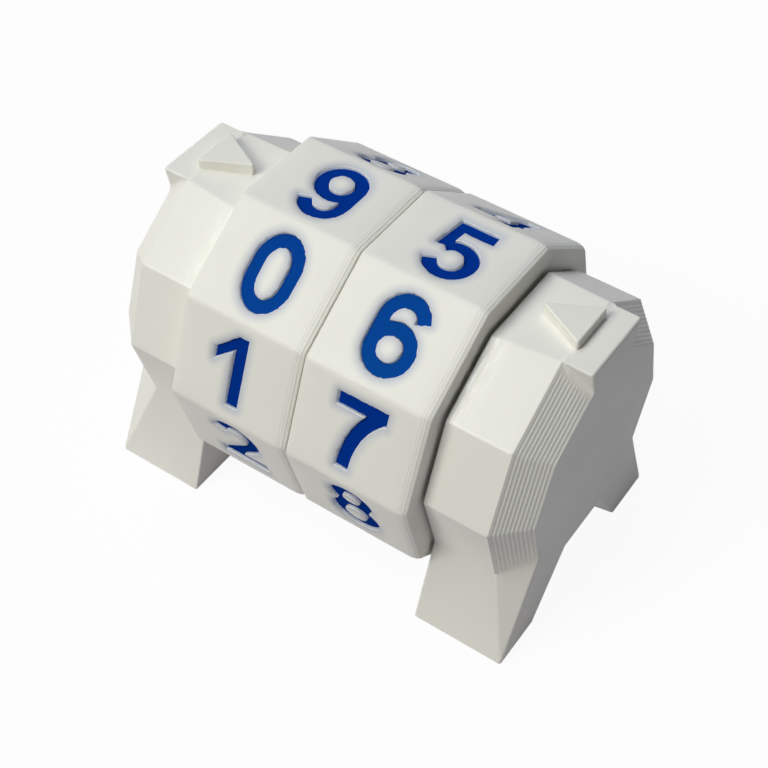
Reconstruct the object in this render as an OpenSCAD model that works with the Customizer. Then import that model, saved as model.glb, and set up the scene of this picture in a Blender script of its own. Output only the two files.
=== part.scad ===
// Life counter: two ten-sided number drums that turn on one axle between two end caps with legs.
// Sizes are millimetres. X runs along the axle, Y away from the reader and Z up.
// The origin lies on the table, midway between the four feet.

/* [Number drums] */
// Width of a drum across its flats
drum_flats = 34.6; // [33:0.1:36]
// Length of a drum along the axle
drum_length = 14; // [12:0.1:18]
// Gap between the two drums
drum_gap = 0.3; // [0.2:0.1:1]
// Length of the rounding along a drum's right-hand rim
rim_length = 1.3; // [0.6:0.1:1.6]
// How far the rounding brings the rim in
rim_drop = 0.5; // [0.2:0.05:0.8]
// Digit that the tens drum shows between the pointers
tens_reading = 9; // [0:1:9]
// Digit that the units drum shows between the pointers
units_reading = 5; // [0:1:9]

/* [Digits] */
// Height of a flat-topped digit
digit_height = 8; // [7:0.1:8.4]
// Width of a round digit
digit_width = 5.6; // [4.8:0.1:6.2]
// Width of a digit's stroke
digit_stroke = 1.5; // [1.1:0.05:1.6]
// How far the round digits reach past the flat ones, above and below
digit_overshoot = 0.25; // [0:0.05:0.3]
// Depth of the pocket that a digit sits in
pocket_depth = 1; // [0.9:0.1:1.4]
// Thickness of the coloured inlay at the bottom of the pocket
inlay_thickness = 0.7; // [0.3:0.1:0.8]
// Play between an inlay and the sides of its pocket
inlay_play = 0.05; // [0.02:0.01:0.1]

/* [End caps] */
// Width of a cap across its flats
cap_flats = 29.6; // [28:0.1:31]
// Length of a cap along the axle
cap_length = 10.5; // [9.6:0.1:14]
// Gap between a cap and its drum
cap_gap = 0.35; // [0.3:0.05:1]
// Length of the taper at the outer end of a cap
taper_length = 3.3; // [2:0.1:4]
// How far the taper brings each facet in
taper_drop = 3.3; // [2:0.1:4]

/* [Legs] */
// Height of the axle above the table
axle_height = 19.1; // [19:0.1:23]
// Distance from the middle to the outer edge of a foot
foot_outer = 15.4; // [14:0.1:18]
// Distance from the middle to the inner edge of a foot
foot_inner = 8.9; // [7:0.1:10]

/* [Pointers] */
// Length of the pointing triangle
pointer_length = 5.4; // [4:0.1:6]
// Width of the triangle's base
pointer_base = 5.8; // [4:0.1:7]
// How far the triangle stands above its facet
pointer_height = 1.1; // [0.6:0.1:1.6]
// Distance from the triangle's base to the outer end of the cap
pointer_margin = 2.8; // [2:0.1:3.2]
// How far the pointer facet falls from the taper to the drum
pointer_fall = 0.4; // [0.1:0.05:0.6]

/* [Axle] */
// Diameter of the axle
axle_diameter = 10; // [8:0.1:11]
// Thickness of the axle between its two flats
axle_thickness = 8; // [6.5:0.1:8.6]
// Length of the axle's bevelled ends
axle_bevel = 0.6; // [0.3:0.1:1]
// Depth of the socket for the axle in each cap
socket_depth = 8; // [6:0.1:8.4]
// Radial play of a drum on the axle
running_play = 0.08; // [0.05:0.01:0.1]
// Radial play of the axle in a cap or a click ring
key_play = 0.05; // [0.02:0.01:0.08]
// Diameter of the thrust face round the socket
boss_diameter = 16; // [14:0.5:20]
// Play along the axle between a drum and what stops it, and at the axle's ends
end_play = 0.15; // [0.1:0.05:0.25]

/* [Click rings] */
// Radius of the notched track inside a drum
track_radius = 12.4; // [12:0.1:12.8]
// Depth of the track, from the drum's inner end
track_depth = 5.2; // [4:0.1:7]
// Radius of a notch in the track
notch_radius = 1.5; // [1.2:0.1:1.7]
// Depth of a notch below the track
notch_depth = 0.7; // [0.5:0.05:0.8]
// Gap between a nose and its notch
nose_gap = 0.3; // [0.2:0.05:0.4]
// Thickness of a springy arm
arm_thickness = 1.2; // [0.8:0.1:1.4]
// Room between an arm and the track
arm_room = 1.3; // [1:0.1:1.5]
// Wall of the ring's hub round the axle
hub_wall = 2; // [1.5:0.1:2.2]
// Turn of a springy arm from its root to its nose
arm_sweep = 125; // [90:1:140]

/* [Hidden] */
$fn = 96;

facets = 10;
facet_turn = 360 / facets;
half_turn = facet_turn / 2;
// Each facet's distance from the axle
drum_reach = drum_flats / 2;
cap_reach = cap_flats / 2;
end_reach = cap_reach - taper_drop;
// The inner and outer ends of the drums and caps, from the middle of the counter
drum_inner = drum_gap / 2;
drum_outer = drum_inner + drum_length;
cap_inner = drum_outer + cap_gap;
cap_outer = cap_inner + cap_length;
taper_start = cap_length - taper_length;
// A leg grows out of the corner below this facet, counted from the pointer facet
leg_top = 3;
// The corners of a leg's section: on the cap, at the table, and back on the cap
knee = corner((leg_top + 0.5) * facet_turn, cap_reach);
toe = [-foot_outer, -axle_height];
heel = [-foot_inner, -axle_height];
crotch = corner((leg_top + 1.5) * facet_turn, cap_reach);
// Cutting bodies run past what they cut by this much
overrun = 1;
// Bodies that cut without an end reach this far from the axle
far = 3 * cap_reach;
// Turn between two points on a curve that is made of straight steps
curve_turn = 12;
// The raised triangle's root lies this far under its facet
root_depth = 0.5;
// Width of the web that joins a springy arm to its hub
web_width = 2.4;

// Turns a flat profile (across, up) into a bar that runs along the axle from the origin
module along_axle(length) {
    rotate([90, 0, 90]) linear_extrude(length) children();
}

// The same with the bar's middle at the origin
module through_axle(length) {
    translate([-length / 2, 0, 0]) along_axle(length) children();
}

// What five slabs turned about the axle share: a ten-sided body with the children's outline (along, up)
module ten_sided(width) {
    intersection_for (slab = [0 : facets / 2 - 1])
        rotate([slab * facet_turn, 0, 0])
            rotate([90, 0, 0])
                linear_extrude(2 * width, center = true) children();
}

// A drum's outline along the axle: sharp at its left end, its right end's corners rounded in small steps
module drum_outline() {
    left = -drum_length / 2;
    turn = drum_length / 2 - rim_length;
    polygon(concat(
        [[left, drum_reach], [left, -drum_reach]],
        bow([turn, rim_drop - drum_reach], rim_length, rim_drop, 270, 360),
        bow([turn, drum_reach - rim_drop], rim_length, rim_drop, 0, 90)
    ));
}

// A round bar's outline with two flats
module two_flats(diameter, thickness) {
    intersection() {
        circle(d = diameter);
        square([diameter + overrun, thickness], center = true);
    }
}

// A corner of a ten-sided outline, at a turn from the top toward the reader: [across, up]
function corner(turn, reach) = reach / cos(half_turn) * [-sin(turn), cos(turn)];

// Points on part of an ellipse
function bow(middle, across, up, from, to) =
    let (steps = ceil(abs(to - from) / curve_turn))
    [for (i = [0:steps]) let (turn = from + (to - from) * i / steps)
        middle + [across * cos(turn), up * sin(turn)]];

// The left-hand normal of the line between two points
function left_of(from, to) = let (run = to - from) [-run.y, run.x] / norm(run);

// A corner of a line moved to its left, where two stretches with the given normals meet
function mitred(point, before, after, by) = point + by * (before + after) / (1 + before * after);

// A closed outline moved to its left, which is inward when it runs anticlockwise
function closed_moved(points, by) =
    let (count = len(points))
    [for (i = [0 : count - 1])
        let (last = points[(i + count - 1) % count], next = points[(i + 1) % count])
        mitred(points[i], left_of(last, points[i]), left_of(points[i], next), by)];

// An open line moved to its left
function open_moved(points, by) =
    let (end = len(points) - 1)
    [for (i = [0:end])
        let (before = left_of(points[max(i - 1, 0)], points[max(i, 1)]))
        let (after = left_of(points[min(i, end - 1)], points[min(i + 1, end)]))
        mitred(points[i], before, after, by)];

function reversed(points) = [for (i = [len(points) - 1 : -1 : 0]) points[i]];

// A line with its two ends drawn in
function drawn_in(points, by) =
    let (end = len(points) - 1)
    let (first = points[0] + by * (points[1] - points[0]) / norm(points[1] - points[0]))
    let (final = points[end] + by * (points[end - 1] - points[end]) / norm(points[end - 1] - points[end]))
    [for (i = [0:end]) i == 0 ? first : i == end ? final : points[i]];

// A stroke along an open line
module stroke(points, shrink) {
    half = digit_stroke / 2 - shrink;
    line = drawn_in(points, shrink);
    polygon(concat(open_moved(line, -half), reversed(open_moved(line, half))));
}

// A stroke round a closed line that runs anticlockwise
module loop(points, shrink) {
    half = digit_stroke / 2 - shrink;
    difference() {
        polygon(closed_moved(points, -half));
        polygon(closed_moved(points, half));
    }
}

// A filled outline that runs anticlockwise
module patch(points, shrink) {
    polygon(closed_moved(points, shrink));
}

// A bar of one stroke's height
module bar(from, to, bottom, shrink) {
    top = bottom + digit_stroke;
    patch([[from, bottom], [to, bottom], [to, top], [from, top]], shrink);
}

// The digits' common lines: their flat top, the middle of a side stroke and of a round top stroke
flat_top = digit_height / 2;
side_line = (digit_width - digit_stroke) / 2;
round_line = flat_top + digit_overshoot - digit_stroke / 2;
// The lower bowl of a 5, 6 or 9 reaches this share of the height
bowl_share = 0.66;
bowl_up = (bowl_share * (digit_height + 2 * digit_overshoot) - digit_stroke) / 2;
bowl_middle = [0, bowl_up - round_line];

module digit_zero(shrink) {
    straight = 0.1 * digit_height;
    loop(concat(
        bow([0, straight], side_line, round_line - straight, 0, 180),
        bow([0, -straight], side_line, round_line - straight, 180, 360)
    ), shrink);
}

module digit_one(shrink) {
    right = digit_stroke * 0.58;
    left = right - digit_stroke;
    flag_reach = -digit_width / 2;
    flag_end = 0.22 * digit_height;
    patch([
        [left, -flat_top], [right, -flat_top], [right, flat_top], [right - 0.75 * digit_stroke, flat_top],
        [flag_reach, flag_end], [flag_reach, flag_end - 0.9 * digit_stroke], [left, 0.28 * digit_height]
    ], shrink);
}

module digit_two(shrink) {
    round_up = 0.26 * digit_height;
    waist = [0, round_line - round_up];
    foot = [-side_line + 0.1 * digit_stroke, digit_stroke / 2 - flat_top];
    stroke(concat(bow(waist, side_line, round_up, 165, -35), [foot]), shrink);
    bar(-digit_width / 2, digit_width / 2, -flat_top, shrink);
}

module digit_three(shrink) {
    upper_up = 0.215 * digit_height;
    lower_up = round_line - upper_up;
    upper = [0, round_line - upper_up];
    lower = [0, upper.y - upper_up - lower_up];
    stroke(bow(upper, 0.88 * side_line, upper_up, 160, -90), shrink);
    stroke(bow([0, lower_up - round_line], side_line, lower_up, 90, -160), shrink);
    bar(-digit_stroke / 2, digit_stroke / 2, lower.y + lower_up - digit_stroke / 2, shrink);
}

module digit_four(shrink) {
    stem_right = 0.38 * digit_width;
    stem_left = stem_right - digit_stroke;
    bar_bottom = -0.28 * digit_height;
    bar_top = bar_bottom + digit_stroke;
    left = -0.52 * digit_width;
    slant_run = 0.32 * digit_width;
    difference() {
        patch([
            [stem_left, -flat_top], [stem_right, -flat_top], [stem_right, bar_bottom],
            [digit_width / 2, bar_bottom], [digit_width / 2, bar_top], [stem_right, bar_top],
            [stem_right, flat_top], [stem_left + 0.1 * digit_stroke, flat_top], [left, bar_top],
            [left, bar_bottom], [stem_left, bar_bottom]
        ], shrink);
        patch([
            [stem_left, bar_top], [stem_left, 0.24 * digit_height], [stem_left - slant_run, bar_top]
        ], -shrink);
    }
}

module digit_five(shrink) {
    set_over = 0.05 * digit_width;
    left_top = -0.31 * digit_width;
    left_low = -0.41 * digit_width;
    low = -0.02 * digit_height;
    bar(left_top, 0.46 * digit_width, flat_top - digit_stroke, shrink);
    patch([
        [left_low, low], [left_low + 0.9 * digit_stroke, low + 0.1 * digit_stroke],
        [left_top + 0.9 * digit_stroke, flat_top], [left_top, flat_top]
    ], shrink);
    stroke(bow(bowl_middle + [set_over, 0], side_line, bowl_up, 138, -162), shrink);
}

module digit_six(shrink) {
    shoulder = 0.16 * digit_height;
    loop(bow(bowl_middle, side_line, bowl_up, 0, 360 - curve_turn), shrink);
    stroke(concat(
        [bowl_middle - [side_line, 0]],
        bow([0, shoulder], side_line, round_line - shoulder, 180, 17)
    ), shrink);
}

module digit_seven(shrink) {
    foot = -0.16 * digit_width;
    sweep_across = digit_width;
    sweep_up = digit_height;
    bar(-digit_width / 2, digit_width / 2, flat_top - digit_stroke, shrink);
    stroke(bow([foot + sweep_across, -flat_top], sweep_across, sweep_up, 180, 117), shrink);
}

module digit_eight(shrink) {
    upper_up = 0.2 * digit_height;
    lower_up = round_line - upper_up;
    loop(bow([0, round_line - upper_up], 0.86 * side_line, upper_up, 0, 360 - curve_turn), shrink);
    loop(bow([0, lower_up - round_line], side_line, lower_up, 0, 360 - curve_turn), shrink);
}

// One digit's outline, drawn in all round by the given amount
module digit_shape(digit, shrink = 0) {
    if (digit == 0) digit_zero(shrink);
    if (digit == 1) digit_one(shrink);
    if (digit == 2) digit_two(shrink);
    if (digit == 3) digit_three(shrink);
    if (digit == 4) digit_four(shrink);
    if (digit == 5) digit_five(shrink);
    if (digit == 6) digit_six(shrink);
    if (digit == 7) digit_seven(shrink);
    if (digit == 8) digit_eight(shrink);
    if (digit == 9) rotate(180) digit_six(shrink);
}

// Puts a digit's solid on its facet, at the bottom of its pocket. The digits rise toward the reader.
module on_facet(digit, reading) {
    rotate([(digit - reading) * facet_turn, 0, 0])
        translate([0, 0, drum_reach - pocket_depth]) children();
}

// A drum round the origin, whose track opens toward -X or +X
module drum(reading, opens) {
    difference() {
        ten_sided(drum_flats) drum_outline();
        through_axle(drum_length + overrun) circle(axle_diameter / 2 + running_play);
        translate([opens * drum_length / 2, 0, 0]) through_axle(2 * track_depth) track();
        for (digit = [0:9])
            on_facet(digit, reading) linear_extrude(pocket_depth + overrun) digit_shape(digit);
    }
}

// The notched track: one notch under each digit
module track() {
    circle(track_radius);
    for (notch = [0 : facets - 1])
        rotate(90 + notch * facet_turn)
            translate([track_radius + notch_depth - notch_radius, 0]) circle(notch_radius);
}

module inlay(digit, reading) {
    on_facet(digit, reading) linear_extrude(inlay_thickness) digit_shape(digit, inlay_play);
}

// The part of a circle between two turns
module sector(radius, from, to) {
    polygon(concat([[0, 0]], [for (turn = [from : curve_turn : to + curve_turn - 1])
        2 * radius * [cos(min(turn, to)), sin(min(turn, to))]]));
}

// A springy arm that ends in a nose, with its nose at the top
module click_arm() {
    outer = track_radius - arm_room;
    root_turn = 90 - arm_sweep;
    intersection() {
        difference() {
            circle(outer);
            circle(outer - arm_thickness);
        }
        sector(outer, root_turn, 90);
    }
    rotate(root_turn)
        translate([axle_diameter / 2 + hub_wall / 2, -web_width / 2])
            square([outer - axle_diameter / 2 - hub_wall / 2 - arm_thickness / 2, web_width]);
    nose_radius = notch_radius - nose_gap;
    nose_middle = track_radius + notch_depth - notch_radius;
    nose_root = outer - arm_thickness / 2;
    translate([0, nose_middle]) circle(nose_radius);
    translate([-nose_radius, nose_root]) square([2 * nose_radius, nose_middle - nose_root]);
}

// The ring that clicks the drum into place: a hub on the axle's flats and two springy arms
module click_ring() {
    color("gainsboro")
        along_axle(drum_inner + track_depth - end_play)
            difference() {
                union() {
                    circle(axle_diameter / 2 + hub_wall);
                    click_arm();
                    rotate(180) click_arm();
                }
                two_flats(axle_diameter + 2 * key_play, axle_thickness + 2 * key_play);
            }
}

// A cap's section, drawn across the axle: ten sides, with a leg in place of two corners on each side
module cap_outline() {
    front = [
        for (step = [0 : leg_top - 1]) corner((step + 0.5) * facet_turn, cap_reach),
        knee, toe, heel, crotch
    ];
    polygon(concat(front, [for (point = reversed(front)) [-point.x, point.y]]));
}

// What lies past one facet's taper. The pointer facet is facet 0, and the count runs toward the reader.
module facet_taper(facet) {
    further = taper_drop * overrun / taper_length;
    rotate([facet * facet_turn, 0, 0])
        rotate([90, 0, 0])
            linear_extrude(2 * far, center = true)
                polygon([
                    [taper_start, cap_reach], [cap_length + overrun, end_reach - further],
                    [cap_length + overrun, far], [taper_start, far]
                ]);
}

// Everything on the far side of the plane through three points
module beyond(a, b, c) {
    middle = (a + b + c) / 3;
    spread = far / norm(b - a);
    out = cross(b - a, c - a) / norm(cross(b - a, c - a));
    corners = concat([for (p = [a, b, c]) middle + spread * (p - middle)], [middle + far * out]);
    polyhedron(corners, [[0, 1, 2], [1, 0, 3], [2, 1, 3], [0, 2, 3]]);
}

// What lies past the outer face of the front leg
module past_leg() {
    end_knee = corner((leg_top + 0.5) * facet_turn, end_reach);
    beyond(
        [taper_start, knee.x, knee.y],
        [cap_length, toe.x, toe.y],
        [cap_length, end_knee.x, end_knee.y]
    );
}

// What lies on the other side of the front leg's inner face
module inside_leg() {
    end_crotch = corner((leg_top + 1.5) * facet_turn, end_reach);
    beyond(
        [taper_start, crotch.x, crotch.y],
        [cap_length, end_crotch.x, end_crotch.y],
        [cap_length, heel.x, heel.y]
    );
}

// What the taper takes off the front of the cap, from the tongue down to the toe
module front_taper() {
    intersection() {
        union() {
            for (facet = [1 : leg_top - 1]) facet_taper(facet);
            intersection() {
                facet_taper(leg_top);
                past_leg();
            }
        }
        along_axle(cap_length + overrun)
            polygon([
                [0, 0], corner(half_turn, far), corner(half_turn + 2 * facet_turn, far),
                corner(half_turn + 4 * facet_turn, far)
            ]);
    }
}

// What the taper takes off between the two legs
module bottom_taper() {
    intersection() {
        facet_taper(facets / 2);
        inside_leg();
        mirror([0, 1, 0]) inside_leg();
    }
}

// The raised triangle, pointing at the drum
module pointer() {
    base = cap_length - pointer_margin;
    root = pointer_fall + root_depth;
    translate([0, 0, cap_reach - root])
        linear_extrude(root + pointer_height)
            polygon([
                [base, -pointer_base / 2], [base, pointer_base / 2], [base - pointer_length, 0]
            ]);
}

// An end cap from its inner face outward, with its axis at the origin
module cap() {
    boss_height = cap_gap - end_play;
    difference() {
        union() {
            difference() {
                along_axle(cap_length) cap_outline();
                front_taper();
                mirror([0, 1, 0]) front_taper();
                bottom_taper();
                // The pointer facet falls toward the drum
                rotate([90, 0, 0])
                    linear_extrude(cap_flats, center = true)
                        polygon([
                            [-overrun, cap_reach - pointer_fall * (1 + overrun / taper_start)],
                            [taper_start, cap_reach], [-overrun, cap_reach + overrun]
                        ]);
            }
            pointer();
            translate([-boss_height, 0, 0]) along_axle(boss_height + overrun) circle(d = boss_diameter);
        }
        translate([-boss_height - overrun, 0, 0])
            along_axle(boss_height + overrun + socket_depth)
                two_flats(axle_diameter + 2 * key_play, axle_thickness + 2 * key_play);
    }
}

module right_cap() {
    color("ghostwhite") translate([cap_inner, 0, axle_height]) cap();
}

module left_cap() {
    color("ghostwhite") translate([-cap_inner, 0, axle_height]) mirror([1, 0, 0]) cap();
}

// The axle: a round bar with bevelled ends and two flats along its whole length
module axle() {
    half_length = cap_inner + socket_depth - end_play;
    radius = axle_diameter / 2;
    color("gainsboro") translate([-half_length, 0, axle_height])
        intersection() {
            rotate([0, 90, 0]) rotate_extrude() polygon([
                [0, 0], [radius - axle_bevel, 0], [radius, axle_bevel],
                [radius, 2 * half_length - axle_bevel], [radius - axle_bevel, 2 * half_length],
                [0, 2 * half_length]
            ]);
            translate([-overrun, -axle_diameter, -axle_thickness / 2])
                cube([2 * (half_length + overrun), 2 * axle_diameter, axle_thickness]);
        }
}

// Sets a drum or its inlay to the left (-1) or to the right (1) of the middle
module at_side(side) {
    translate([side * (drum_inner + drum_length / 2), 0, axle_height]) children();
}

module tens_drum() {
    color("ghostwhite") at_side(-1) drum(tens_reading, 1);
}

module units_drum() {
    color("ghostwhite") at_side(1) drum(units_reading, -1);
}

module tens_digit(digit) {
    color("royalblue") at_side(-1) inlay(digit, tens_reading);
}

module units_digit(digit) {
    color("royalblue") at_side(1) inlay(digit, units_reading);
}

module units_click_ring() {
    translate([0, 0, axle_height]) click_ring();
}

module tens_click_ring() {
    translate([0, 0, axle_height]) mirror([1, 0, 0]) click_ring();
}

left_cap();
right_cap();
axle();
tens_drum();
units_drum();
tens_click_ring();
units_click_ring();
for (digit = [0:9]) {
    tens_digit(digit);
    units_digit(digit);
}
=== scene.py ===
"""Life counter with two number drums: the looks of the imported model, in metres."""
from math import atan2, cos, degrees, floor, pi, radians, sin, sqrt, tan

import bmesh
import bpy
from bpy.props import FloatProperty, FloatVectorProperty, PointerProperty
from mathutils import Euler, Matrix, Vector
from mathutils.bvhtree import BVHTree
from mathutils.noise import noise_vector


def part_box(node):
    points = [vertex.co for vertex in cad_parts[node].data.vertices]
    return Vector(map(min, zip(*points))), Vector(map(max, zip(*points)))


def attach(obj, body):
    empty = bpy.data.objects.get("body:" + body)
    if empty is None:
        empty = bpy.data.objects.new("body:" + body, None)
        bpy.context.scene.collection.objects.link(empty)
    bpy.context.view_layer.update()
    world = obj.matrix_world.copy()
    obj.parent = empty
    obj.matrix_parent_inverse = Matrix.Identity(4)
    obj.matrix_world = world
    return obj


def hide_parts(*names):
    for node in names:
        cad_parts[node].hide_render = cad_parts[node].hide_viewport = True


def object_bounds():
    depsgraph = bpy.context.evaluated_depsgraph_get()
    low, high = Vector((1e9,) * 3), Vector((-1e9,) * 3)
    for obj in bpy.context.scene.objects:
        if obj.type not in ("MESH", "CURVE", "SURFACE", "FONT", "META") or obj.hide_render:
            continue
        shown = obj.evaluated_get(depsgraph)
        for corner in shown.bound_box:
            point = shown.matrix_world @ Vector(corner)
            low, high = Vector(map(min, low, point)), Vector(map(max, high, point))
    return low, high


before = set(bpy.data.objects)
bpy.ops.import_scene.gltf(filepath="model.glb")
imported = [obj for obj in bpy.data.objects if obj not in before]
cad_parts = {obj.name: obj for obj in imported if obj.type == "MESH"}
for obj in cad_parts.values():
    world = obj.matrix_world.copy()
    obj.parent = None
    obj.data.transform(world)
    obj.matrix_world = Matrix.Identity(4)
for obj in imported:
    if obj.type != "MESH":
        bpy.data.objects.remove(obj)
cad_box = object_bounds()

bl_info = {
    "name": "Life Counter",
    "version": (1, 0, 0),
    "blender": (4, 5, 0),
    "location": "View3D > Sidebar > Life Counter",
    "description": "Builds the printed caps, drums and digits of a life counter",
    "category": "Object",
}

MM = 0.001
# The part's own sizes, as its source gives them
AXLE_HEIGHT = 19.1 * MM
FACETS = 10
FACET_TURN = 360 / FACETS
HALF_TURN = FACET_TURN / 2
# The turn at which the facets beside the pointer's end
BESIDE_END = 1.5 * FACET_TURN
CAP_REACH = 14.8 * MM
TAPER_LENGTH = 3.3 * MM
TAPER_DROP = 3.3 * MM
OUTER_END = cad_box[1][0]
TAPER_START = OUTER_END - TAPER_LENGTH
# The facet that a leg starts below, and the turns between which the leg stands in the taper's place
LEG_TOP = 3
LEG_FROM = (LEG_TOP + 0.5) * FACET_TURN
LEG_TO = (LEG_TOP + 1.5) * FACET_TURN
DRUM_REACH = 17.3 * MM
RIM_LENGTH = 1.3 * MM
RIM_DROP = 0.5 * MM
POCKET_DEPTH = 1 * MM
# How far a digit's inlay lies under its facet, and how much deeper its top shows here
INLAY_SUNK = 0.3 * MM
SUNK_MORE = 0.12 * MM
DIGITS = range(10)
# Half the width of the strip of a facet that can hold a digit
DIGIT_STRIP = 3.4 * MM
# Edges further in than this belong to the inside of a cap or a drum and stay sharp
CAP_SKIN = 4 * MM
DRUM_SKIN = 1.5 * MM

# How the parts were printed: the axle stood upright, so layers lie across it
LAYER = 0.3 * MM
TAPER_LAYERS = round(TAPER_LENGTH / LAYER)
# Where a printed layer is cut, as shares of its thickness, to round it like a laid bead
BEAD_CUTS = (0.15, 0.3, 0.45, 0.6, 0.75, 0.9)
# The ridge that each layer leaves on the taper: where it starts and ends in the layer, and its height
RIDGE_FROM = 0.3
RIDGE_TO = 0.9
RIDGE = 0.045 * MM
# Whole layers in the rounding of a drum's right rim, where they are cut, and how far their edges bulge
RIM_LAYERS = int(RIM_LENGTH / LAYER)
RIM_CUTS = (0.02, 0.12, 0.35, 0.65, 0.88, 0.98)
RIM_BULGE = 0.012 * MM
# How much of a full stair each layer of a drum's rim makes: the nozzle smears the rest into a slope
STAIR_SHARE = 0.35
# How far the layers' ends wander round a digit's pocket, and over what length
POCKET_WANDER = 0.09 * MM
WANDER_LENGTH = 1.3 * LAYER
# How far the ends of a cap's layers stand out along its creases: the most, and what each gets of it
STITCH = 0.025 * MM
STITCH_SHARE = 0.7
STITCH_SPREAD = 0.5

# The hollow between the tongue's side and the taper, which starts narrower than it goes on
HOLLOW = 0.7 * MM
HOLLOW_STEP = 0.12 * MM
HOLLOW_GROWTH = 0.8
# How much less than a straight line the tongue's side and the taper's facet make between them
HOLLOW_BEND = radians(90 - HALF_TURN)
# The layers fade out over this width beside the tongue
FADE_FROM = 0.6 * MM
FADE_TO = 0.96 * MM
# Rounded creases stop this far before and after the corner where the tongue leaves the taper
BEFORE_CORNER = 0.3 * MM
AFTER_CORNER = 0.6 * MM
# How much wider than its rounding the strip along a cap's crease is
CREASE_STRIP = 1.3
POCKET_ROUND = 0.06 * MM
ROUND_STEPS = 3
FINE_STEPS = 2
# The facets sink toward a digit's pocket: how deep at its edge, and from how far out
POCKET_DIP = 0.11 * MM
DIP_REACH = 1.2 * MM
# Side of the small squares that carry the dip and the painted shade round a digit
PAINTED_SHADE_GRID = 0.3 * MM

# How the white plastic looks close to: its clouds, its grain, and how far one layer line keeps its depth
CLOUD_SIZE = 6 * MM
CLOUD_SHADE = (0.97, 0.965, 0.945)
GRAIN_SIZE = 0.35 * MM
LINE_LENGTH = 5 * MM
WHITE_GRAIN = 0.002 * MM
WHITE_SHINE = 0.36
WHITE_ROUGHNESS = (0.42, 0.56)
# How much light goes into the white, and how deep: in a thin wall deeper, and red deeper than blue
LIGHT_INSIDE = 0.12
LIGHT_DEPTH = 0.5 * MM
THIN_WALL_DEPTH = 3 * MM
LIGHT_SPREAD = (1, 0.95, 0.9)
# A cap's layers shine in streaks beside the drum, painted highlights with real gloss, from the cap's inner
# side to where they are gone
STREAK_FROM = 14.5 * MM
STREAK_TO = 17 * MM
STREAK_LENGTH = 2.5 * MM
# The heights of noise that make a streak, how its facet faces, and how it looks: the painted highlight's
# colour and the gloss's roughness
STREAK_NOISE = (0.5, 0.68)
STREAK_FRONT = -0.3
STREAK_UPPER = 0.5
PAINTED_GLINT_COLOUR = "FFFFFA"
GLINT_ROUGHNESS = 0.2
# The painted shade near a digit leaves its pocket's rim out: in millimetres from the digit, as the painted
# shade counts
RIM_FROM = 0.04
RIM_TO = 0.1
# How fast the painted shade fades, and how fast it turns from its left tone to its right one
SHADE_POWER = 1.5
SIDE_POWER = 0.5
# How the blue plastic looks close to, and how much of its look is the shine of its skin
MOTTLE_SIZE = 0.5 * MM
BLUE_GRAIN = 0.004 * MM
BLUE_SHINE = 0.013
BLUE_ROUGHNESS = (0.32, 0.48)
MOTTLE_LIGHT = 1.5
SHINE_COLOUR = "3FE7FF"
# Index of refraction of PLA
PLA = 1.46

# Where the lamps hang: turned from straight in front toward the right, and raised, in degrees
FRONT_LAMP = (-25, 40)
HIGH_LAMP = (-25, 65)
BACK_LAMP = (-120, 65)
FLOOR_REACH = 1.5
# How much of the floor that the camera sees is plain white, and how much is board with a shadow on it
FLOOR_GLOW = 0.94
FLOOR_TOOTH = 3 * MM
TOOTH_SHADE = 0.985
# The camera's film in millimetres, and from where to where it sees in metres
FILM_WIDTH = 36
SEEN_FROM = 0.01
SEEN_TO = 10

# Two places are the same within the first of these, and lie on the same plane within the second
WELD = 0.001 * MM
NEAR = 0.01 * MM
# A cut goes through corners that lie this near to it, instead of beside them
CUT_NEAR = WELD / 10
# Two turns in degrees are the same within the first of these, and about the same within the second
SAME_TURN = 0.01
ABOUT = 0.1
# Edges that bend less than this are no edges of the part, and the ones that bend more are shaded sharp
FLAT = radians(1)
SHARP = radians(35)
# The least bend of a cap's crease, of the tongue's edges and of the edges round a pointer's top
CREASE_BEND = radians(20)
TONGUE_BEND = radians(45)
POINTER_BEND = radians(60)
# How far faces turn: the taper's toward its end, a pocket's rim and, at most, its wall toward the facet
TAPER_LEAN = (0.4, 0.95)
RIM_LEAN = (0.1, 0.99)
WALL_LEAN = 0.3


def linear(text):
    """An sRGB hex colour as the linear colour that shaders take."""
    parts = [int(text[i:i + 2], 16) / 255 for i in (0, 2, 4)]
    light = [c / 12.92 if c <= 0.04045 else ((c + 0.055) / 1.055) ** 2.4 for c in parts]
    return (*light, 1)


class CounterColours(bpy.types.PropertyGroup):
    """Colours of the printed plastics and of the stage"""
    shell: FloatVectorProperty(
        name="Shell", description="White plastic of the caps and drums",
        subtype="COLOR", size=4, min=0, max=1, default=linear("F2F1EA"))
    # Painted shade: the white left of a digit, darkened as if the dip there turned from the lamps
    painted_shade_left: FloatVectorProperty(
        name="Shell left of a digit", description="White plastic where a facet falls away from the lamps",
        subtype="COLOR", size=4, min=0, max=1, default=linear("B2B6C3"))
    # Painted shade with a painted blue cast: the white right of a digit, as if the digit's blue lit it
    painted_shade_right: FloatVectorProperty(
        name="Shell right of a digit", description="White plastic where a digit's blue shines through",
        subtype="COLOR", size=4, min=0, max=1, default=linear("BFC5D3"))
    digit: FloatVectorProperty(
        name="Digit", description="Blue plastic of the sunk digits",
        subtype="COLOR", size=4, min=0, max=1, default=linear("022780"))
    # Painted blue bounce light: the pockets' white walls are coloured light blue for the blue that the
    # digits throw onto them
    pocket: FloatVectorProperty(
        name="Pocket", description="White plastic of the pockets' walls, with the digit's blue in it",
        subtype="COLOR", size=4, min=0, max=1, default=linear("D6E1F6"))
    ground: FloatVectorProperty(
        name="Floor", description="Pale floor under the counter",
        subtype="COLOR", size=4, min=0, max=1, default=linear("F4F5F6"))
    ground_bounce: FloatVectorProperty(
        name="Floor's bounce", description="Colour in which the floor lights the counter from below",
        subtype="COLOR", size=4, min=0, max=1, default=linear("CECBD3"))


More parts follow.
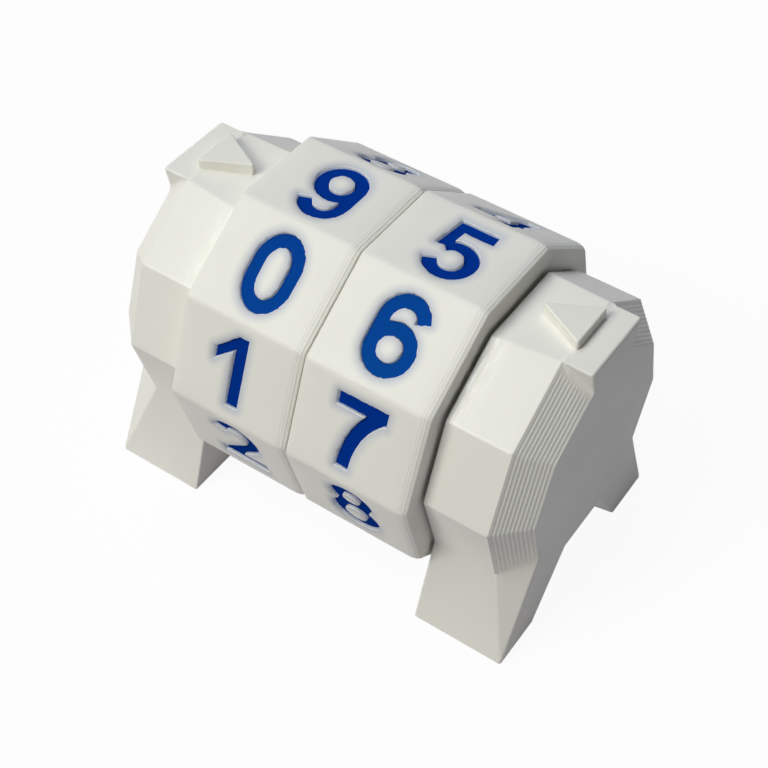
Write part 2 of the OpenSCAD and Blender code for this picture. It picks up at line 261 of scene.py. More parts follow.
class CounterSurface(bpy.types.PropertyGroup):
    """Depth of the printed surface's texture"""
    drum_ribs: FloatProperty(
        name="Drum ribs", description="Depth of the layer lines on a drum",
        default=0.0035 * MM, min=0, max=0.1 * MM, precision=6, unit="LENGTH")
    cap_ribs: FloatProperty(
        name="Cap ribs", description="Depth of the layer lines on a cap",
        default=0.002 * MM, min=0, max=0.1 * MM, precision=6, unit="LENGTH")


class CounterRoundings(bpy.types.PropertyGroup):
    """Widths of the roundings that printing leaves on the edges"""
    drum_crease: FloatProperty(
        name="Drum crease", description="Rounding between two facets of a drum",
        default=0.3 * MM, min=0, max=MM, precision=6, unit="LENGTH")
    bed_edge: FloatProperty(
        name="Bed edge", description="Rounding of a drum's left rim, nearly sharp from the print bed",
        default=0.08 * MM, min=0, max=MM, precision=6, unit="LENGTH")
    cap_crease: FloatProperty(
        name="Cap crease", description="Rounding between two facets of a cap",
        default=0.2 * MM, min=0, max=MM, precision=6, unit="LENGTH")
    tongue_top: FloatProperty(
        name="Tongue's top", description="Rounding round the top of the tongue beyond the taper",
        default=0.3 * MM, min=0, max=MM, precision=6, unit="LENGTH")
    tongue_corner: FloatProperty(
        name="Tongue's corner", description="Rounding of the two corners of the tongue's end",
        default=0.36 * MM, min=0, max=MM, precision=6, unit="LENGTH")
    pointer_top: FloatProperty(
        name="Pointer's top", description="Rounding round the top of the raised triangle",
        default=0.2 * MM, min=0, max=MM, precision=6, unit="LENGTH")
    pointer_corner: FloatProperty(
        name="Pointer's corner", description="Rounding of the raised triangle's three corners",
        default=0.45 * MM, min=0, max=MM, precision=6, unit="LENGTH")


class CounterStage(bpy.types.PropertyGroup):
    """Camera and lamps"""
    camera_place: FloatVectorProperty(
        name="Camera place", description="Where the camera stands",
        default=(60.28 * MM, -96.84 * MM, 135.26 * MM), subtype="TRANSLATION", unit="LENGTH")
    camera_turn: FloatVectorProperty(
        name="Camera turn", description="How the camera is turned from looking straight down",
        default=(radians(43.0), radians(-1.91), radians(34.04)), subtype="EULER")
    camera_lens: FloatProperty(
        name="Lens", description="Focal length on a 36 mm wide sensor",
        default=72.86, min=10, max=300, unit="CAMERA")
    front_power: FloatProperty(
        name="Front lamp", description="Power of the lamp in front on the left",
        default=4.0, min=0, max=20, unit="POWER")
    front_colour: FloatVectorProperty(
        name="Front lamp's colour", description="Slightly warm white of the lamp in front",
        subtype="COLOR", size=3, min=0, max=1, default=(1, 0.99, 0.86))
    high_power: FloatProperty(
        name="High lamp", description="Power of the lamp high on the left",
        default=2.25, min=0, max=20, unit="POWER")
    high_colour: FloatVectorProperty(
        name="High lamp's colour", description="Slightly cool white of the high lamps",
        subtype="COLOR", size=3, min=0, max=1, default=(0.86, 0.9, 1))
    back_power: FloatProperty(
        name="Back lamp", description="Power of the weak lamp high behind on the left",
        default=2.0, min=0, max=20, unit="POWER")
    lamp_distance: FloatProperty(
        name="Lamp distance", description="How far each lamp hangs from the axle's middle",
        default=0.9, min=0.1, max=5, unit="LENGTH")
    lamp_size: FloatProperty(
        name="Lamp size", description="Width of each round lamp",
        default=0.41, min=0.01, max=2, unit="LENGTH")
    room_light: FloatProperty(
        name="Room light", description="Strength of the light that comes from all round",
        default=0.012, min=0, max=2)


# Geometry

def facet_normal(facet):
    """The direction that a facet faces, counted from the top toward the reader."""
    turn = radians(facet * FACET_TURN)
    return Vector((0, -sin(turn), cos(turn)))


def from_axle(point):
    """The point's place across the axle."""
    return Vector((0, point.y, point.z - AXLE_HEIGHT))


def reach(point, facet):
    """How far the point lies from the axle, along a facet's normal."""
    return from_axle(point).dot(facet_normal(facet))


def turn_of(point):
    """The point's turn about the axle in degrees, from the top toward the reader."""
    return degrees(atan2(-point.y, point.z - AXLE_HEIGHT))


def facet_of(point):
    """The facet whose sector the point lies in."""
    return floor((turn_of(point) + HALF_TURN) / FACET_TURN)


def merged_copy(node):
    """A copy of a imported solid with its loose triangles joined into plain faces."""
    shape = bmesh.new()
    shape.from_mesh(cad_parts[node].data)
    bmesh.ops.remove_doubles(shape, verts=shape.verts, dist=WELD)
    bmesh.ops.dissolve_limit(
        shape, angle_limit=FLAT, verts=shape.verts, edges=shape.edges, delimit={"NORMAL"})
    return shape


def corners_of(faces):
    """The corners of the faces, each once and in the same order on every run."""
    return list(dict.fromkeys(vert for face in faces for vert in face.verts))


def parts_of(faces):
    """Faces with their edges and corners, as an operator takes them."""
    edges = dict.fromkeys(edge for face in faces for edge in face.edges)
    return [*corners_of(faces), *edges, *faces]


def cut_faces(shape, faces, place, normal):
    """Cuts faces of a shape along a plane. Gives the parts that are there afterwards."""
    return bmesh.ops.bisect_plane(
        shape, geom=parts_of(faces), dist=CUT_NEAR, plane_co=place, plane_no=normal)["geom"]


def round_edges(shape, edges, width, steps=ROUND_STEPS):
    bmesh.ops.bevel(
        shape, geom=edges, offset=width, offset_type="OFFSET", segments=steps, profile=0.5,
        affect="EDGES", clamp_overlap=False, material=-1)


def finish_piece(shape, name, node, body, materials):
    """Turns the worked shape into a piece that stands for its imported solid."""
    bmesh.ops.recalc_face_normals(shape, faces=shape.faces)
    mesh = bpy.data.meshes.new(name)
    shape.to_mesh(mesh)
    shape.free()
    for material in materials:
        mesh.materials.append(material)
    mesh.polygons.foreach_set("use_smooth", [True] * len(mesh.polygons))
    mesh.set_sharp_from_angle(angle=SHARP)
    piece = bpy.data.objects.new(name, mesh)
    bpy.context.scene.collection.objects.link(piece)
    weigh = piece.modifiers.new("Flat faces keep their shading", "WEIGHTED_NORMAL")
    weigh.keep_sharp = True
    weigh.weight = 90
    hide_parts(node)
    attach(piece, body)
    return piece


# Materials

def add_node(tree, kind, values=(), links=(), **settings):
    """Adds one shader node with its settings, its sockets' values and what feeds them."""
    made = tree.nodes.new(kind)
    for name, value in settings.items():
        setattr(made, name, value)
    for socket, value in dict(values).items():
        made.inputs[socket].default_value = value
    for socket, source in dict(links).items():
        tree.links.new(source, made.inputs[socket])
    return made


def new_material(name):
    material = bpy.data.materials.new(name)
    material.use_nodes = True
    tree = material.node_tree
    tree.nodes.clear()
    return material, tree


def layer_relief(tree, depth, grain_depth):
    """Layer lines across the axle, uneven from layer to layer, over a fine grain. Gives the normal."""
    place = add_node(tree, "ShaderNodeTexCoord").outputs["Object"]
    # A wave texture's band repeats every 2 pi / 20 of its scaled length
    band = 2 * pi / 20
    lines = add_node(
        tree, "ShaderNodeTexWave", {"Scale": band / LAYER, "Distortion": 0}, {"Vector": place},
        wave_type="BANDS", bands_direction="X", wave_profile="SIN")
    stretched = add_node(
        tree, "ShaderNodeMapping", {"Scale": (1 / LAYER, 1 / LINE_LENGTH, 1 / LINE_LENGTH)},
        {"Vector": place})
    uneven = add_node(
        tree, "ShaderNodeTexNoise", {"Scale": 0.8, "Detail": 2, "Roughness": 0.6},
        {"Vector": stretched.outputs[0]})
    both = add_node(
        tree, "ShaderNodeMath", {1: 0.5}, {0: lines.outputs["Fac"], 2: uneven.outputs["Fac"]},
        operation="MULTIPLY_ADD")
    ribs = add_node(
        tree, "ShaderNodeBump", {"Strength": 1, "Distance": depth}, {"Height": both.outputs[0]})
    grain = add_node(
        tree, "ShaderNodeTexNoise", {"Scale": 1 / GRAIN_SIZE, "Detail": 3, "Roughness": 0.65},
        {"Vector": place})
    return add_node(
        tree, "ShaderNodeBump", {"Strength": 1, "Distance": grain_depth},
        {"Height": grain.outputs["Fac"], "Normal": ribs.outputs["Normal"]}).outputs["Normal"]


def attribute(tree, name):
    """What each corner of a piece carries under the given name."""
    return add_node(
        tree, "ShaderNodeAttribute", attribute_name=name, attribute_type="GEOMETRY").outputs["Fac"]


def paint_digit_shade(tree, colours, colour):
    """Paints shade onto the white toward a digit's pocket, darker on its left, which turns from the lamps,
    than on its right, which gets a painted blue cast, but not onto its rim.
    """
    distance = attribute(tree, "digit_distance")
    near = add_node(
        tree, "ShaderNodeMapRange", {"From Max": DIP_REACH / MM, "To Min": 1, "To Max": 0},
        {"Value": distance})
    closeness = add_node(
        tree, "ShaderNodeMath", {1: SHADE_POWER}, {0: near.outputs["Result"]}, operation="POWER")
    off_rim = add_node(
        tree, "ShaderNodeMapRange", {"From Min": RIM_FROM, "From Max": RIM_TO}, {"Value": distance})
    strength = add_node(
        tree, "ShaderNodeMath", {}, {0: closeness.outputs[0], 1: off_rim.outputs["Result"]},
        operation="MULTIPLY")
    half = add_node(
        tree, "ShaderNodeMapRange", {"From Min": -1, "From Max": 1},
        {"Value": attribute(tree, "digit_side")})
    right = add_node(
        tree, "ShaderNodeMath", {1: SIDE_POWER}, {0: half.outputs["Result"]}, operation="POWER")
    tint = add_node(
        tree, "ShaderNodeMix",
        {"A": tuple(colours.painted_shade_left), "B": tuple(colours.painted_shade_right)},
        {"Factor": right.outputs[0]}, data_type="RGBA")
    return add_node(
        tree, "ShaderNodeMix", {},
        {"Factor": strength.outputs[0], "A": colour, "B": tint.outputs["Result"]},
        data_type="RGBA").outputs["Result"]


def beside_drum(tree, place):
    """How near a point of a cap's upper front facet lies to the drum."""
    across = add_node(tree, "ShaderNodeSeparateXYZ", links={0: place})
    apart = add_node(tree, "ShaderNodeMath", {}, {0: across.outputs["X"]}, operation="ABSOLUTE")
    near = add_node(
        tree, "ShaderNodeMapRange",
        {"From Min": STREAK_FROM, "From Max": STREAK_TO, "To Min": 1, "To Max": 0},
        {"Value": apart.outputs[0]})
    normal = add_node(tree, "ShaderNodeTexCoord").outputs["Normal"]
    facing = add_node(tree, "ShaderNodeSeparateXYZ", links={0: normal})
    front = add_node(
        tree, "ShaderNodeMath", {1: STREAK_FRONT}, {0: facing.outputs["Y"]}, operation="LESS_THAN")
    upper = add_node(
        tree, "ShaderNodeMath", {1: STREAK_UPPER}, {0: facing.outputs["Z"]}, operation="GREATER_THAN")
    both = add_node(
        tree, "ShaderNodeMath", {}, {0: front.outputs[0], 1: upper.outputs[0]}, operation="MULTIPLY")
    return add_node(
        tree, "ShaderNodeMath", {}, {0: near.outputs["Result"], 1: both.outputs[0]},
        operation="MULTIPLY").outputs[0]


def layer_glints(tree, place):
    """Where the edges of a cap's layers shine: short streaks beside the drum, and dots on the creases, as a
    mask for painted highlights and gloss.
    """
    stretched = add_node(
        tree, "ShaderNodeMapping", {"Scale": (2 / LAYER, 1 / STREAK_LENGTH, 1 / STREAK_LENGTH)},
        {"Vector": place})
    dashes = add_node(
        tree, "ShaderNodeTexNoise", {"Scale": 1, "Detail": 1, "Roughness": 0.5},
        {"Vector": stretched.outputs[0]})
    streaks = add_node(
        tree, "ShaderNodeMapRange", {"From Min": STREAK_NOISE[0], "From Max": STREAK_NOISE[1]},
        {"Value": dashes.outputs["Fac"]})
    beside = add_node(
        tree, "ShaderNodeMath", {}, {0: streaks.outputs["Result"], 1: beside_drum(tree, place)},
        operation="MULTIPLY")
    return add_node(
        tree, "ShaderNodeMath", {}, {0: beside.outputs[0], 1: attribute(tree, "glint")},
        operation="MAXIMUM").outputs[0]


def let_layers_shine(tree, plastic, glint, colour, satin):
    """Paints highlights into the plastic's colour, and makes it smoother and glossier, where the layers'
    edges glint.
    """
    # Painted highlight: the base colour turns toward near-white where the layers glint
    painted_highlight = add_node(
        tree, "ShaderNodeMix", {"B": linear(PAINTED_GLINT_COLOUR)}, {"Factor": glint, "A": colour},
        data_type="RGBA")
    smoother = add_node(
        tree, "ShaderNodeMix", {"B": GLINT_ROUGHNESS}, {"Factor": glint, "A": satin}, data_type="FLOAT")
    glossier = add_node(
        tree, "ShaderNodeMapRange", {"To Min": WHITE_SHINE, "To Max": 1}, {"Value": glint})
    tree.links.new(painted_highlight.outputs["Result"], plastic.inputs["Base Color"])
    tree.links.new(smoother.outputs["Result"], plastic.inputs["Roughness"])
    tree.links.new(glossier.outputs["Result"], plastic.inputs["Specular IOR Level"])


def printed_white(name, colours, shell, ribs, shade_near_digits=False, glints=False, see_through=False):
    """White printed PLA, satin from the nozzle: warm white, with layer lines that catch raking light, with
    painted shade toward the blue pockets, with painted highlights and real gloss where the layers' ends
    stand out, and lit from within where a thin wall lets light through."""
    material, tree = new_material(name)
    place = add_node(tree, "ShaderNodeTexCoord").outputs["Object"]
    cloud = add_node(
        tree, "ShaderNodeTexNoise", {"Scale": 1 / CLOUD_SIZE, "Detail": 3, "Roughness": 0.5},
        {"Vector": place})
    warm = tuple(c * f for c, f in zip(shell[:3], CLOUD_SHADE)) + (1,)
    colour = add_node(
        tree, "ShaderNodeMix", {"A": tuple(shell), "B": warm},
        {"Factor": cloud.outputs["Fac"]}, data_type="RGBA").outputs["Result"]
    # Painted shade round the digits' pockets
    if shade_near_digits:
        colour = paint_digit_shade(tree, colours, colour)
    satin = add_node(
        tree, "ShaderNodeMapRange", {"To Min": WHITE_ROUGHNESS[0], "To Max": WHITE_ROUGHNESS[1]},
        {"Value": cloud.outputs["Fac"]})
    plastic = add_node(
        tree, "ShaderNodeBsdfPrincipled",
        {"IOR": PLA, "Specular IOR Level": WHITE_SHINE,
         "Subsurface Weight": 1 if see_through else LIGHT_INSIDE, "Subsurface Radius": LIGHT_SPREAD,
         "Subsurface Scale": THIN_WALL_DEPTH if see_through else LIGHT_DEPTH},
        {"Base Color": colour, "Roughness": satin.outputs["Result"],
         "Normal": layer_relief(tree, ribs, WHITE_GRAIN)})
    if glints:
        let_layers_shine(tree, plastic, layer_glints(tree, place), colour, satin.outputs["Result"])
    add_node(tree, "ShaderNodeOutputMaterial", links={"Surface": plastic.outputs[0]})
    return material


def printed_blue(name, colour, ribs):
    """Blue printed PLA: deep, with the same layer lines, a slight mottle and a shine of its own blue."""
    material, tree = new_material(name)
    place = add_node(tree, "ShaderNodeTexCoord").outputs["Object"]
    mottle = add_node(
        tree, "ShaderNodeTexNoise", {"Scale": 1 / MOTTLE_SIZE, "Detail": 3, "Roughness": 0.6},
        {"Vector": place})
    light = tuple(min(1, c * MOTTLE_LIGHT) for c in colour[:3]) + (1,)
    shade = add_node(
        tree, "ShaderNodeMix", {"A": tuple(colour), "B": light},
        {"Factor": mottle.outputs["Fac"]}, data_type="RGBA").outputs["Result"]
    rough = add_node(
        tree, "ShaderNodeMapRange", {"To Min": BLUE_ROUGHNESS[0], "To Max": BLUE_ROUGHNESS[1]},
        {"Value": mottle.outputs["Fac"]})
    relief = layer_relief(tree, ribs, BLUE_GRAIN)
    plastic = add_node(
        tree, "ShaderNodeBsdfPrincipled", {"IOR": PLA, "Specular IOR Level": 0},
        {"Base Color": shade, "Roughness": rough.outputs["Result"], "Normal": relief})
    shine = add_node(
        tree, "ShaderNodeBsdfAnisotropic", {"Color": linear(SHINE_COLOUR)},
        {"Roughness": rough.outputs["Result"], "Normal": relief})
    both = add_node(
        tree, "ShaderNodeMixShader", {"Fac": BLUE_SHINE}, {1: plastic.outputs[0], 2: shine.outputs[0]})
    add_node(tree, "ShaderNodeOutputMaterial", links={"Surface": both.outputs[0]})
    return material


# End caps

def bead_inset(share, bulge):
    """How far a laid bead's edge lies inside its middle, at a share of the layer's thickness."""
    return bulge * (1 - sqrt(1 - (2 * share - 1) ** 2))


def cut_layers(shape, faces, start, side, layers, cuts):
    """Cuts the faces that a function gives across the axle, where the edges of the printed layers are."""
    for layer in range(layers):
        for share in cuts:
            cut_faces(shape, faces(), (start + side * (layer + share) * LAYER, 0, 0), (1, 0, 0))


def stand_like_stairs(vert, along, layers, profile, bulge):
    """Moves a corner of a slope out or in, so that each printed layer stands like a stair."""
    layer = min(int(along / LAYER), layers - 1)
    plain = profile(along)
    stair = profile((layer + 0.5) * LAYER)
    moved = STAIR_SHARE * (stair - plain) - bead_inset(min(1, along / LAYER - layer), bulge)
    vert.co.yz = Vector((0, AXLE_HEIGHT)) + from_axle(vert.co).yz * (1 + moved / plain)


def stand_like_ridges(vert, along, plain, share):
    """Moves a corner of the taper in, but for a thin ridge in each printed layer."""
    within = (along / LAYER) % 1
    across = (within - RIDGE_FROM) / (RIDGE_TO - RIDGE_FROM)
    ridge = sin(pi * across) if 0 < across < 1 else 0
    moved = (ridge - 1) * RIDGE * share * min(1, along / LAYER)
    vert.co.yz = Vector((0, AXLE_HEIGHT)) + from_axle(vert.co).yz * (1 + moved / plain)


def on_taper(point, plain):
    """Whether a point beyond the taper's start lies on a tapered facet, not on the tongue or a leg."""
    turn = abs(turn_of(point))
    if turn < HALF_TURN - SAME_TURN or LEG_FROM + SAME_TURN < turn < LEG_TO - SAME_TURN:
        return False
    at_tongue = turn < HALF_TURN + SAME_TURN
    return not at_tongue or abs(reach(point, 1 if point.y < 0 else -1) - plain) < WELD


def taper_faces(shape, side):
    """The tapered facets of a cap, without the tongue and the legs."""
    faces = []
    for face in shape.faces:
        centre = face.calc_center_median()
        turn = abs(turn_of(centre))
        beside_leg = HALF_TURN < turn < LEG_FROM or turn > LEG_TO
        leaning = TAPER_LEAN[0] < face.normal.x * side < TAPER_LEAN[1]
        if beside_leg and leaning and centre.x * side > TAPER_START:
            faces.append(face)
    return faces


def is_beside_tongue(point):
    """Whether a point lies on one of a cap's three highest facets."""
    return abs(turn_of(point)) < BESIDE_END


def past_tongue(point, plain):
    """How far along its facet a point of the taper lies from the tongue's side, and its facet."""
    facet = 1 if point.y < 0 else -1
    normal = facet_normal(facet)
    along_facet = facet * Vector((0, -normal.z, normal.y))
    return from_axle(point).dot(along_facet) + plain * tan(radians(HALF_TURN)), facet, along_facet


def cut_beside_tongue(shape, side):
    """Cuts the taper's two highest facets lengthwise, for the hollow along the tongue."""
    turn = radians(HALF_TURN)
    for front in (-1, 1):
        outward = Vector((0, front * cos(turn), -sin(turn)))
        for step in range(1, round(FADE_TO / HOLLOW_STEP) + 1):
            faces = [face for face in taper_faces(shape, side)
                     if face.calc_center_median().y * front > 0
                     and is_beside_tongue(face.calc_center_median())]
            place = Vector((0, 0, AXLE_HEIGHT)) + outward * step * HOLLOW_STEP * cos(turn)
            cut_faces(shape, faces, place, outward)


def hollow_out(vert, along, plain):
    """Lifts a corner of the taper beside the tongue onto a hollow rounding that meets the tongue's side."""
    width = min(HOLLOW, HOLLOW_GROWTH * along)
    apart, facet, along_facet = past_tongue(vert.co, plain)
    if apart < width:
        bend = HOLLOW_BEND * (1 - max(0, apart) / width)
        radius = width / tan(HOLLOW_BEND / 2)
        vert.co += along_facet * (width - radius * sin(bend) - apart)
        vert.co += facet_normal(facet) * radius * (1 - cos(bend))


def step_taper(shape, side):
    """Cuts the taper into its printed layers, whose ridges fade out beside the tongue."""
    start = side * TAPER_START
    cut_beside_tongue(shape, side)
    cut_layers(shape, lambda: taper_faces(shape, side), start, side, TAPER_LAYERS, BEAD_CUTS)

    def slope(along):
        return CAP_REACH - along * TAPER_DROP / TAPER_LENGTH

    for vert in shape.verts:
        along = (vert.co.x - start) * side
        if along > WELD and on_taper(vert.co, slope(along)):
            plain = slope(along)
            beside_tongue = is_beside_tongue(vert.co)
            apart = past_tongue(vert.co, plain)[0] if beside_tongue else FADE_TO
            share = min(1, max(0, (apart - FADE_FROM) / (FADE_TO - FADE_FROM)))
            stand_like_ridges(vert, along, plain, share)
            if beside_tongue:
                hollow_out(vert, along, plain)


def cut_near_tongue(shape, side):
    """Cuts the pointer's facet and its neighbours across, so that creases can end off the corner."""
    for place in (TAPER_START - BEFORE_CORNER, TAPER_START + AFTER_CORNER):
        faces = []
        for face in shape.faces:
            centre = face.calc_center_median()
            beyond = centre.x * side > TAPER_START
            near_top = abs(turn_of(centre)) < (HALF_TURN + ABOUT if beyond else BESIDE_END)
            outside = reach(centre, facet_of(centre)) > CAP_REACH / 2
            if near_top and outside and beyond == (place > TAPER_START):
                faces.append(face)
        cut_faces(shape, faces, (side * place, 0, 0), (1, 0, 0))


def is_tongue_corner(point, side):
    """Whether a point is where the tongue's top leaves the taper's start."""
    at_start = abs(point.x * side - TAPER_START) < WELD
    return at_start and abs(abs(turn_of(point)) - HALF_TURN) < ABOUT


def is_outer_crease(edge):
    """Whether an edge of a cap is an outward crease, and not deep inside."""
    if len(edge.link_faces) != 2 or not edge.is_convex or edge.calc_face_angle() < CREASE_BEND:
        return False
    return max(reach(vert.co, facet_of(vert.co)) for vert in edge.verts) > CAP_REACH - CAP_SKIN


def is_pointer_edge(edge):
    """Whether an edge belongs to the raised triangle's top or stands at one of its corners."""
    return max(vert.co.z for vert in edge.verts) > AXLE_HEIGHT + CAP_REACH + NEAR


def is_pointer_top(edge):
    """Whether an edge runs round the raised triangle's top."""
    level = abs(edge.verts[0].co.z - edge.verts[1].co.z) < NEAR
    return level and is_pointer_edge(edge) and edge.calc_face_angle(0) > POINTER_BEND


def is_bead_edge(edge, side):
    """Whether an edge of the taper runs across the axle, where the layers round it by themselves."""
    low, high = (vert.co for vert in edge.verts)
    across = abs(low.x - high.x) < WELD
    middle = (low + high) / 2
    turn = abs(turn_of(middle))
    off_tongue = turn > HALF_TURN + 1
    on_leg = LEG_FROM < turn < LEG_TO
    return across and middle.x * side > TAPER_START - WELD and off_tongue and not on_leg


def is_tongue_edge(edge, side):
    """Whether an edge runs along the top of the tongue's side or its outer end."""
    return edge.calc_face_angle(0) > TONGUE_BEND and all(
        vert.co.x * side > TAPER_START + AFTER_CORNER - NEAR
        and abs(turn_of(vert.co)) < HALF_TURN + ABOUT
        and abs(reach(vert.co, 0) - CAP_REACH) < NEAR for vert in edge.verts)


def is_tongue_upright(edge):
    """Whether an edge runs down at a corner of the tongue's end."""
    at_end = all(abs(vert.co.x) > OUTER_END - WELD for vert in edge.verts)
    on_tongue = all(abs(turn_of(vert.co)) < HALF_TURN + ABOUT for vert in edge.verts)
    return at_end and on_tongue and abs(edge.verts[0].co.z - edge.verts[1].co.z) > NEAR


def near_crease(point, rounding):
    """Whether a point of a cap lies on the rounding between two facets above the legs."""
    turn = abs(turn_of(point))
    apart = abs(turn % FACET_TURN - HALF_TURN)
    above_leg = HALF_TURN - 1 < turn < LEG_TOP * FACET_TURN
    return above_leg and radians(apart) * CAP_REACH < CREASE_STRIP * rounding


def stitch_creases(shape, side, rounding):
    """Lets the ends of the printed layers stand out along a cap's creases, like stitches."""
    outside = [vert.co for vert in shape.verts if reach(vert.co, facet_of(vert.co)) > CAP_REACH / 2]
    inner = min(point.x * side for point in outside)
    length = TAPER_START - inner

    def crease_faces():
        return [face for face in shape.faces
                if inner < face.calc_center_median().x * side < TAPER_START
                and near_crease(face.calc_center_median(), rounding)
                and all(near_crease(vert.co, rounding) for vert in face.verts)]

    for step in range(1, int(2 * length / LAYER)):
        cut_faces(shape, crease_faces(), (side * (inner + step * LAYER / 2), 0, 0), (1, 0, 0))
    # The stitches also mark where the caps' material paints its highlights
    glint = shape.verts.layers.float.new("glint")
    strip = set(crease_faces())
    for vert in corners_of(crease_faces()):
        along = vert.co.x * side - inner
        if strip.issuperset(vert.link_faces) and LAYER / 4 < along < length - LAYER / 4:
            bump = (1 - cos(2 * pi * along / LAYER)) / 2
            bump *= STITCH_SHARE + STITCH_SPREAD * noise_vector(vert.co / LAYER).x
            vert[glint] = max(0, min(1, bump))
            vert.co.yz += from_axle(vert.co).normalized().yz * STITCH * bump


class COUNTER_OT_end_caps(bpy.types.Operator):
    """Make both end caps, with rounded creases and a taper that shows its printed layers"""
    bl_idname = "counter.end_caps"
    bl_label = "End caps"

    def execute(self, context):
        looks = context.scene.counter_surface
        sizes = context.scene.counter_roundings
        colours = context.scene.counter_colours
        white = printed_white(
            "Printed white PLA, caps", colours, colours.shell, looks.cap_ribs, glints=True)
        for side, word in ((-1, "left"), (1, "right")):
            shape = merged_copy(f"{word}_cap")
            cut_near_tongue(shape, side)
            creases = [edge for edge in shape.edges if is_outer_crease(edge)]
            corners = [edge for edge in creases if is_pointer_edge(edge) and not is_pointer_top(edge)]
            uprights = [edge for edge in creases if is_tongue_upright(edge)]
            plain = [edge for edge in creases
                     if not is_pointer_edge(edge) and not is_bead_edge(edge, side)
                     and not is_tongue_edge(edge, side) and not is_tongue_upright(edge)
                     and not any(is_tongue_corner(vert.co, side) for vert in edge.verts)]
            round_edges(shape, corners, sizes.pointer_corner)
            top = [edge for edge in shape.edges if is_pointer_top(edge)]
            round_edges(shape, top, sizes.pointer_top)
            round_edges(shape, [edge for edge in plain if edge.is_valid], sizes.cap_crease)
            round_edges(shape, [edge for edge in uprights if edge.is_valid], sizes.tongue_corner)
            # Only now, because the rounding of the creases makes some of the tongue's edges anew
            tongue = [edge for edge in shape.edges if is_tongue_edge(edge, side)]
            round_edges(shape, tongue, sizes.tongue_top)
            step_taper(shape, side)
            stitch_creases(shape, side, sizes.cap_crease)
            finish_piece(shape, f"printed_{word}_cap", f"{word}_cap", "frame", [white])
        return {"FINISHED"}


# Drums

def is_drum_crease(edge):
    """Whether an edge lies between two facets, from rim to rim."""
    low, high = (vert.co for vert in edge.verts)
    at_corner = all(
        abs(turn_of(point) % FACET_TURN - HALF_TURN) < ABOUT for point in (low, high))
    outside = from_axle(low).length > DRUM_REACH - DRUM_SKIN
    return at_corner and outside and abs(low.x - high.x) > NEAR


def is_pocket_rim(edge, middle):
    """Whether an edge lies between a facet and the wall of a digit's pocket."""
    if len(edge.link_faces) != 2:
        return False
    centre = (edge.verts[0].co + edge.verts[1].co) / 2
    facet = facet_of(centre)
    if abs(reach(centre, facet) - DRUM_REACH) > NEAR or abs(centre.x - middle) > DIGIT_STRIP:
        return False
    return any(abs(face.normal.dot(facet_normal(facet))) < 0.5 for face in edge.link_faces)


def is_pocket_edge_face(face, middle):
    """Whether a face is part of the fine rounding between a facet and a pocket's wall."""
    centre = face.calc_center_median()
    facet = facet_of(centre)
    leaning = RIM_LEAN[0] < abs(face.normal.dot(facet_normal(facet))) < RIM_LEAN[1]
    high = reach(centre, facet) > DRUM_REACH - 2 * POCKET_ROUND
    return leaning and high and abs(centre.x - middle) < DIGIT_STRIP


def on_facet_plane(face):
    """Whether a face lies in one of a drum's ten facets."""
    centre = face.calc_center_median()
    return abs(reach(centre, facet_of(centre)) - DRUM_REACH) < NEAR


def is_pocket_wall(face, middle):
    """Whether a face belongs to the inside of a digit's pocket."""
    centre = face.calc_center_median()
    facet = facet_of(centre)
    height = reach(centre, facet)
    low = DRUM_REACH - POCKET_DEPTH - NEAR
    steep = abs(face.normal.dot(facet_normal(facet))) < WALL_LEAN
    return abs(centre.x - middle) < DIGIT_STRIP and (
        low < height < DRUM_REACH - POCKET_ROUND and steep or abs(height - low) < 2 * NEAR)


def is_bed_edge(edge, left):
    """Whether an edge runs round a drum's left rim."""
    return all(abs(vert.co.x - left) < WELD and from_axle(vert.co).length > DRUM_REACH - NEAR
               for vert in edge.verts)


def step_rim(shape, right):
    """Cuts the rounding of a drum's right rim into its printed layers."""
    start = right - RIM_LAYERS * LAYER
    before = RIM_LENGTH - RIM_LAYERS * LAYER

    def rounding(along):
        across = min(1, (along + before) / RIM_LENGTH)
        return DRUM_REACH - RIM_DROP * (1 - sqrt(1 - across ** 2))

    def rim_faces():
        return [face for face in shape.faces
                if start - LAYER < face.calc_center_median().x < right - WELD
                and from_axle(face.calc_center_median()).length > DRUM_REACH - 2 * RIM_DROP]

    cut_layers(shape, rim_faces, start, 1, RIM_LAYERS, RIM_CUTS)
    for vert in shape.verts:
        along = vert.co.x - start
        if along > WELD and from_axle(vert.co).length > DRUM_REACH - 2 * RIM_DROP:
            stand_like_stairs(vert, along, RIM_LAYERS, rounding, RIM_BULGE)


def fray_pockets(shape, middle):
    """Cuts the pockets' walls at each printed layer, and lets the layers' ends wander a little."""
    def walls():
        return [face for face in shape.faces
                if is_pocket_wall(face, middle) or is_pocket_edge_face(face, middle)]

    steps = int(DIGIT_STRIP / LAYER)
    for step in range(-steps, steps + 1):
        cut_faces(shape, walls(), (middle + step * LAYER, 0, 0), (1, 0, 0))
    low = DRUM_REACH - POCKET_DEPTH + NEAR
    for vert in corners_of(walls()):
        normal = facet_normal(facet_of(vert.co))
        height = (reach(vert.co, facet_of(vert.co)) - low) / POCKET_DEPTH
        wander = noise_vector(vert.co / WANDER_LENGTH) * POCKET_WANDER * max(0, height)
        vert.co += wander - normal * wander.dot(normal)


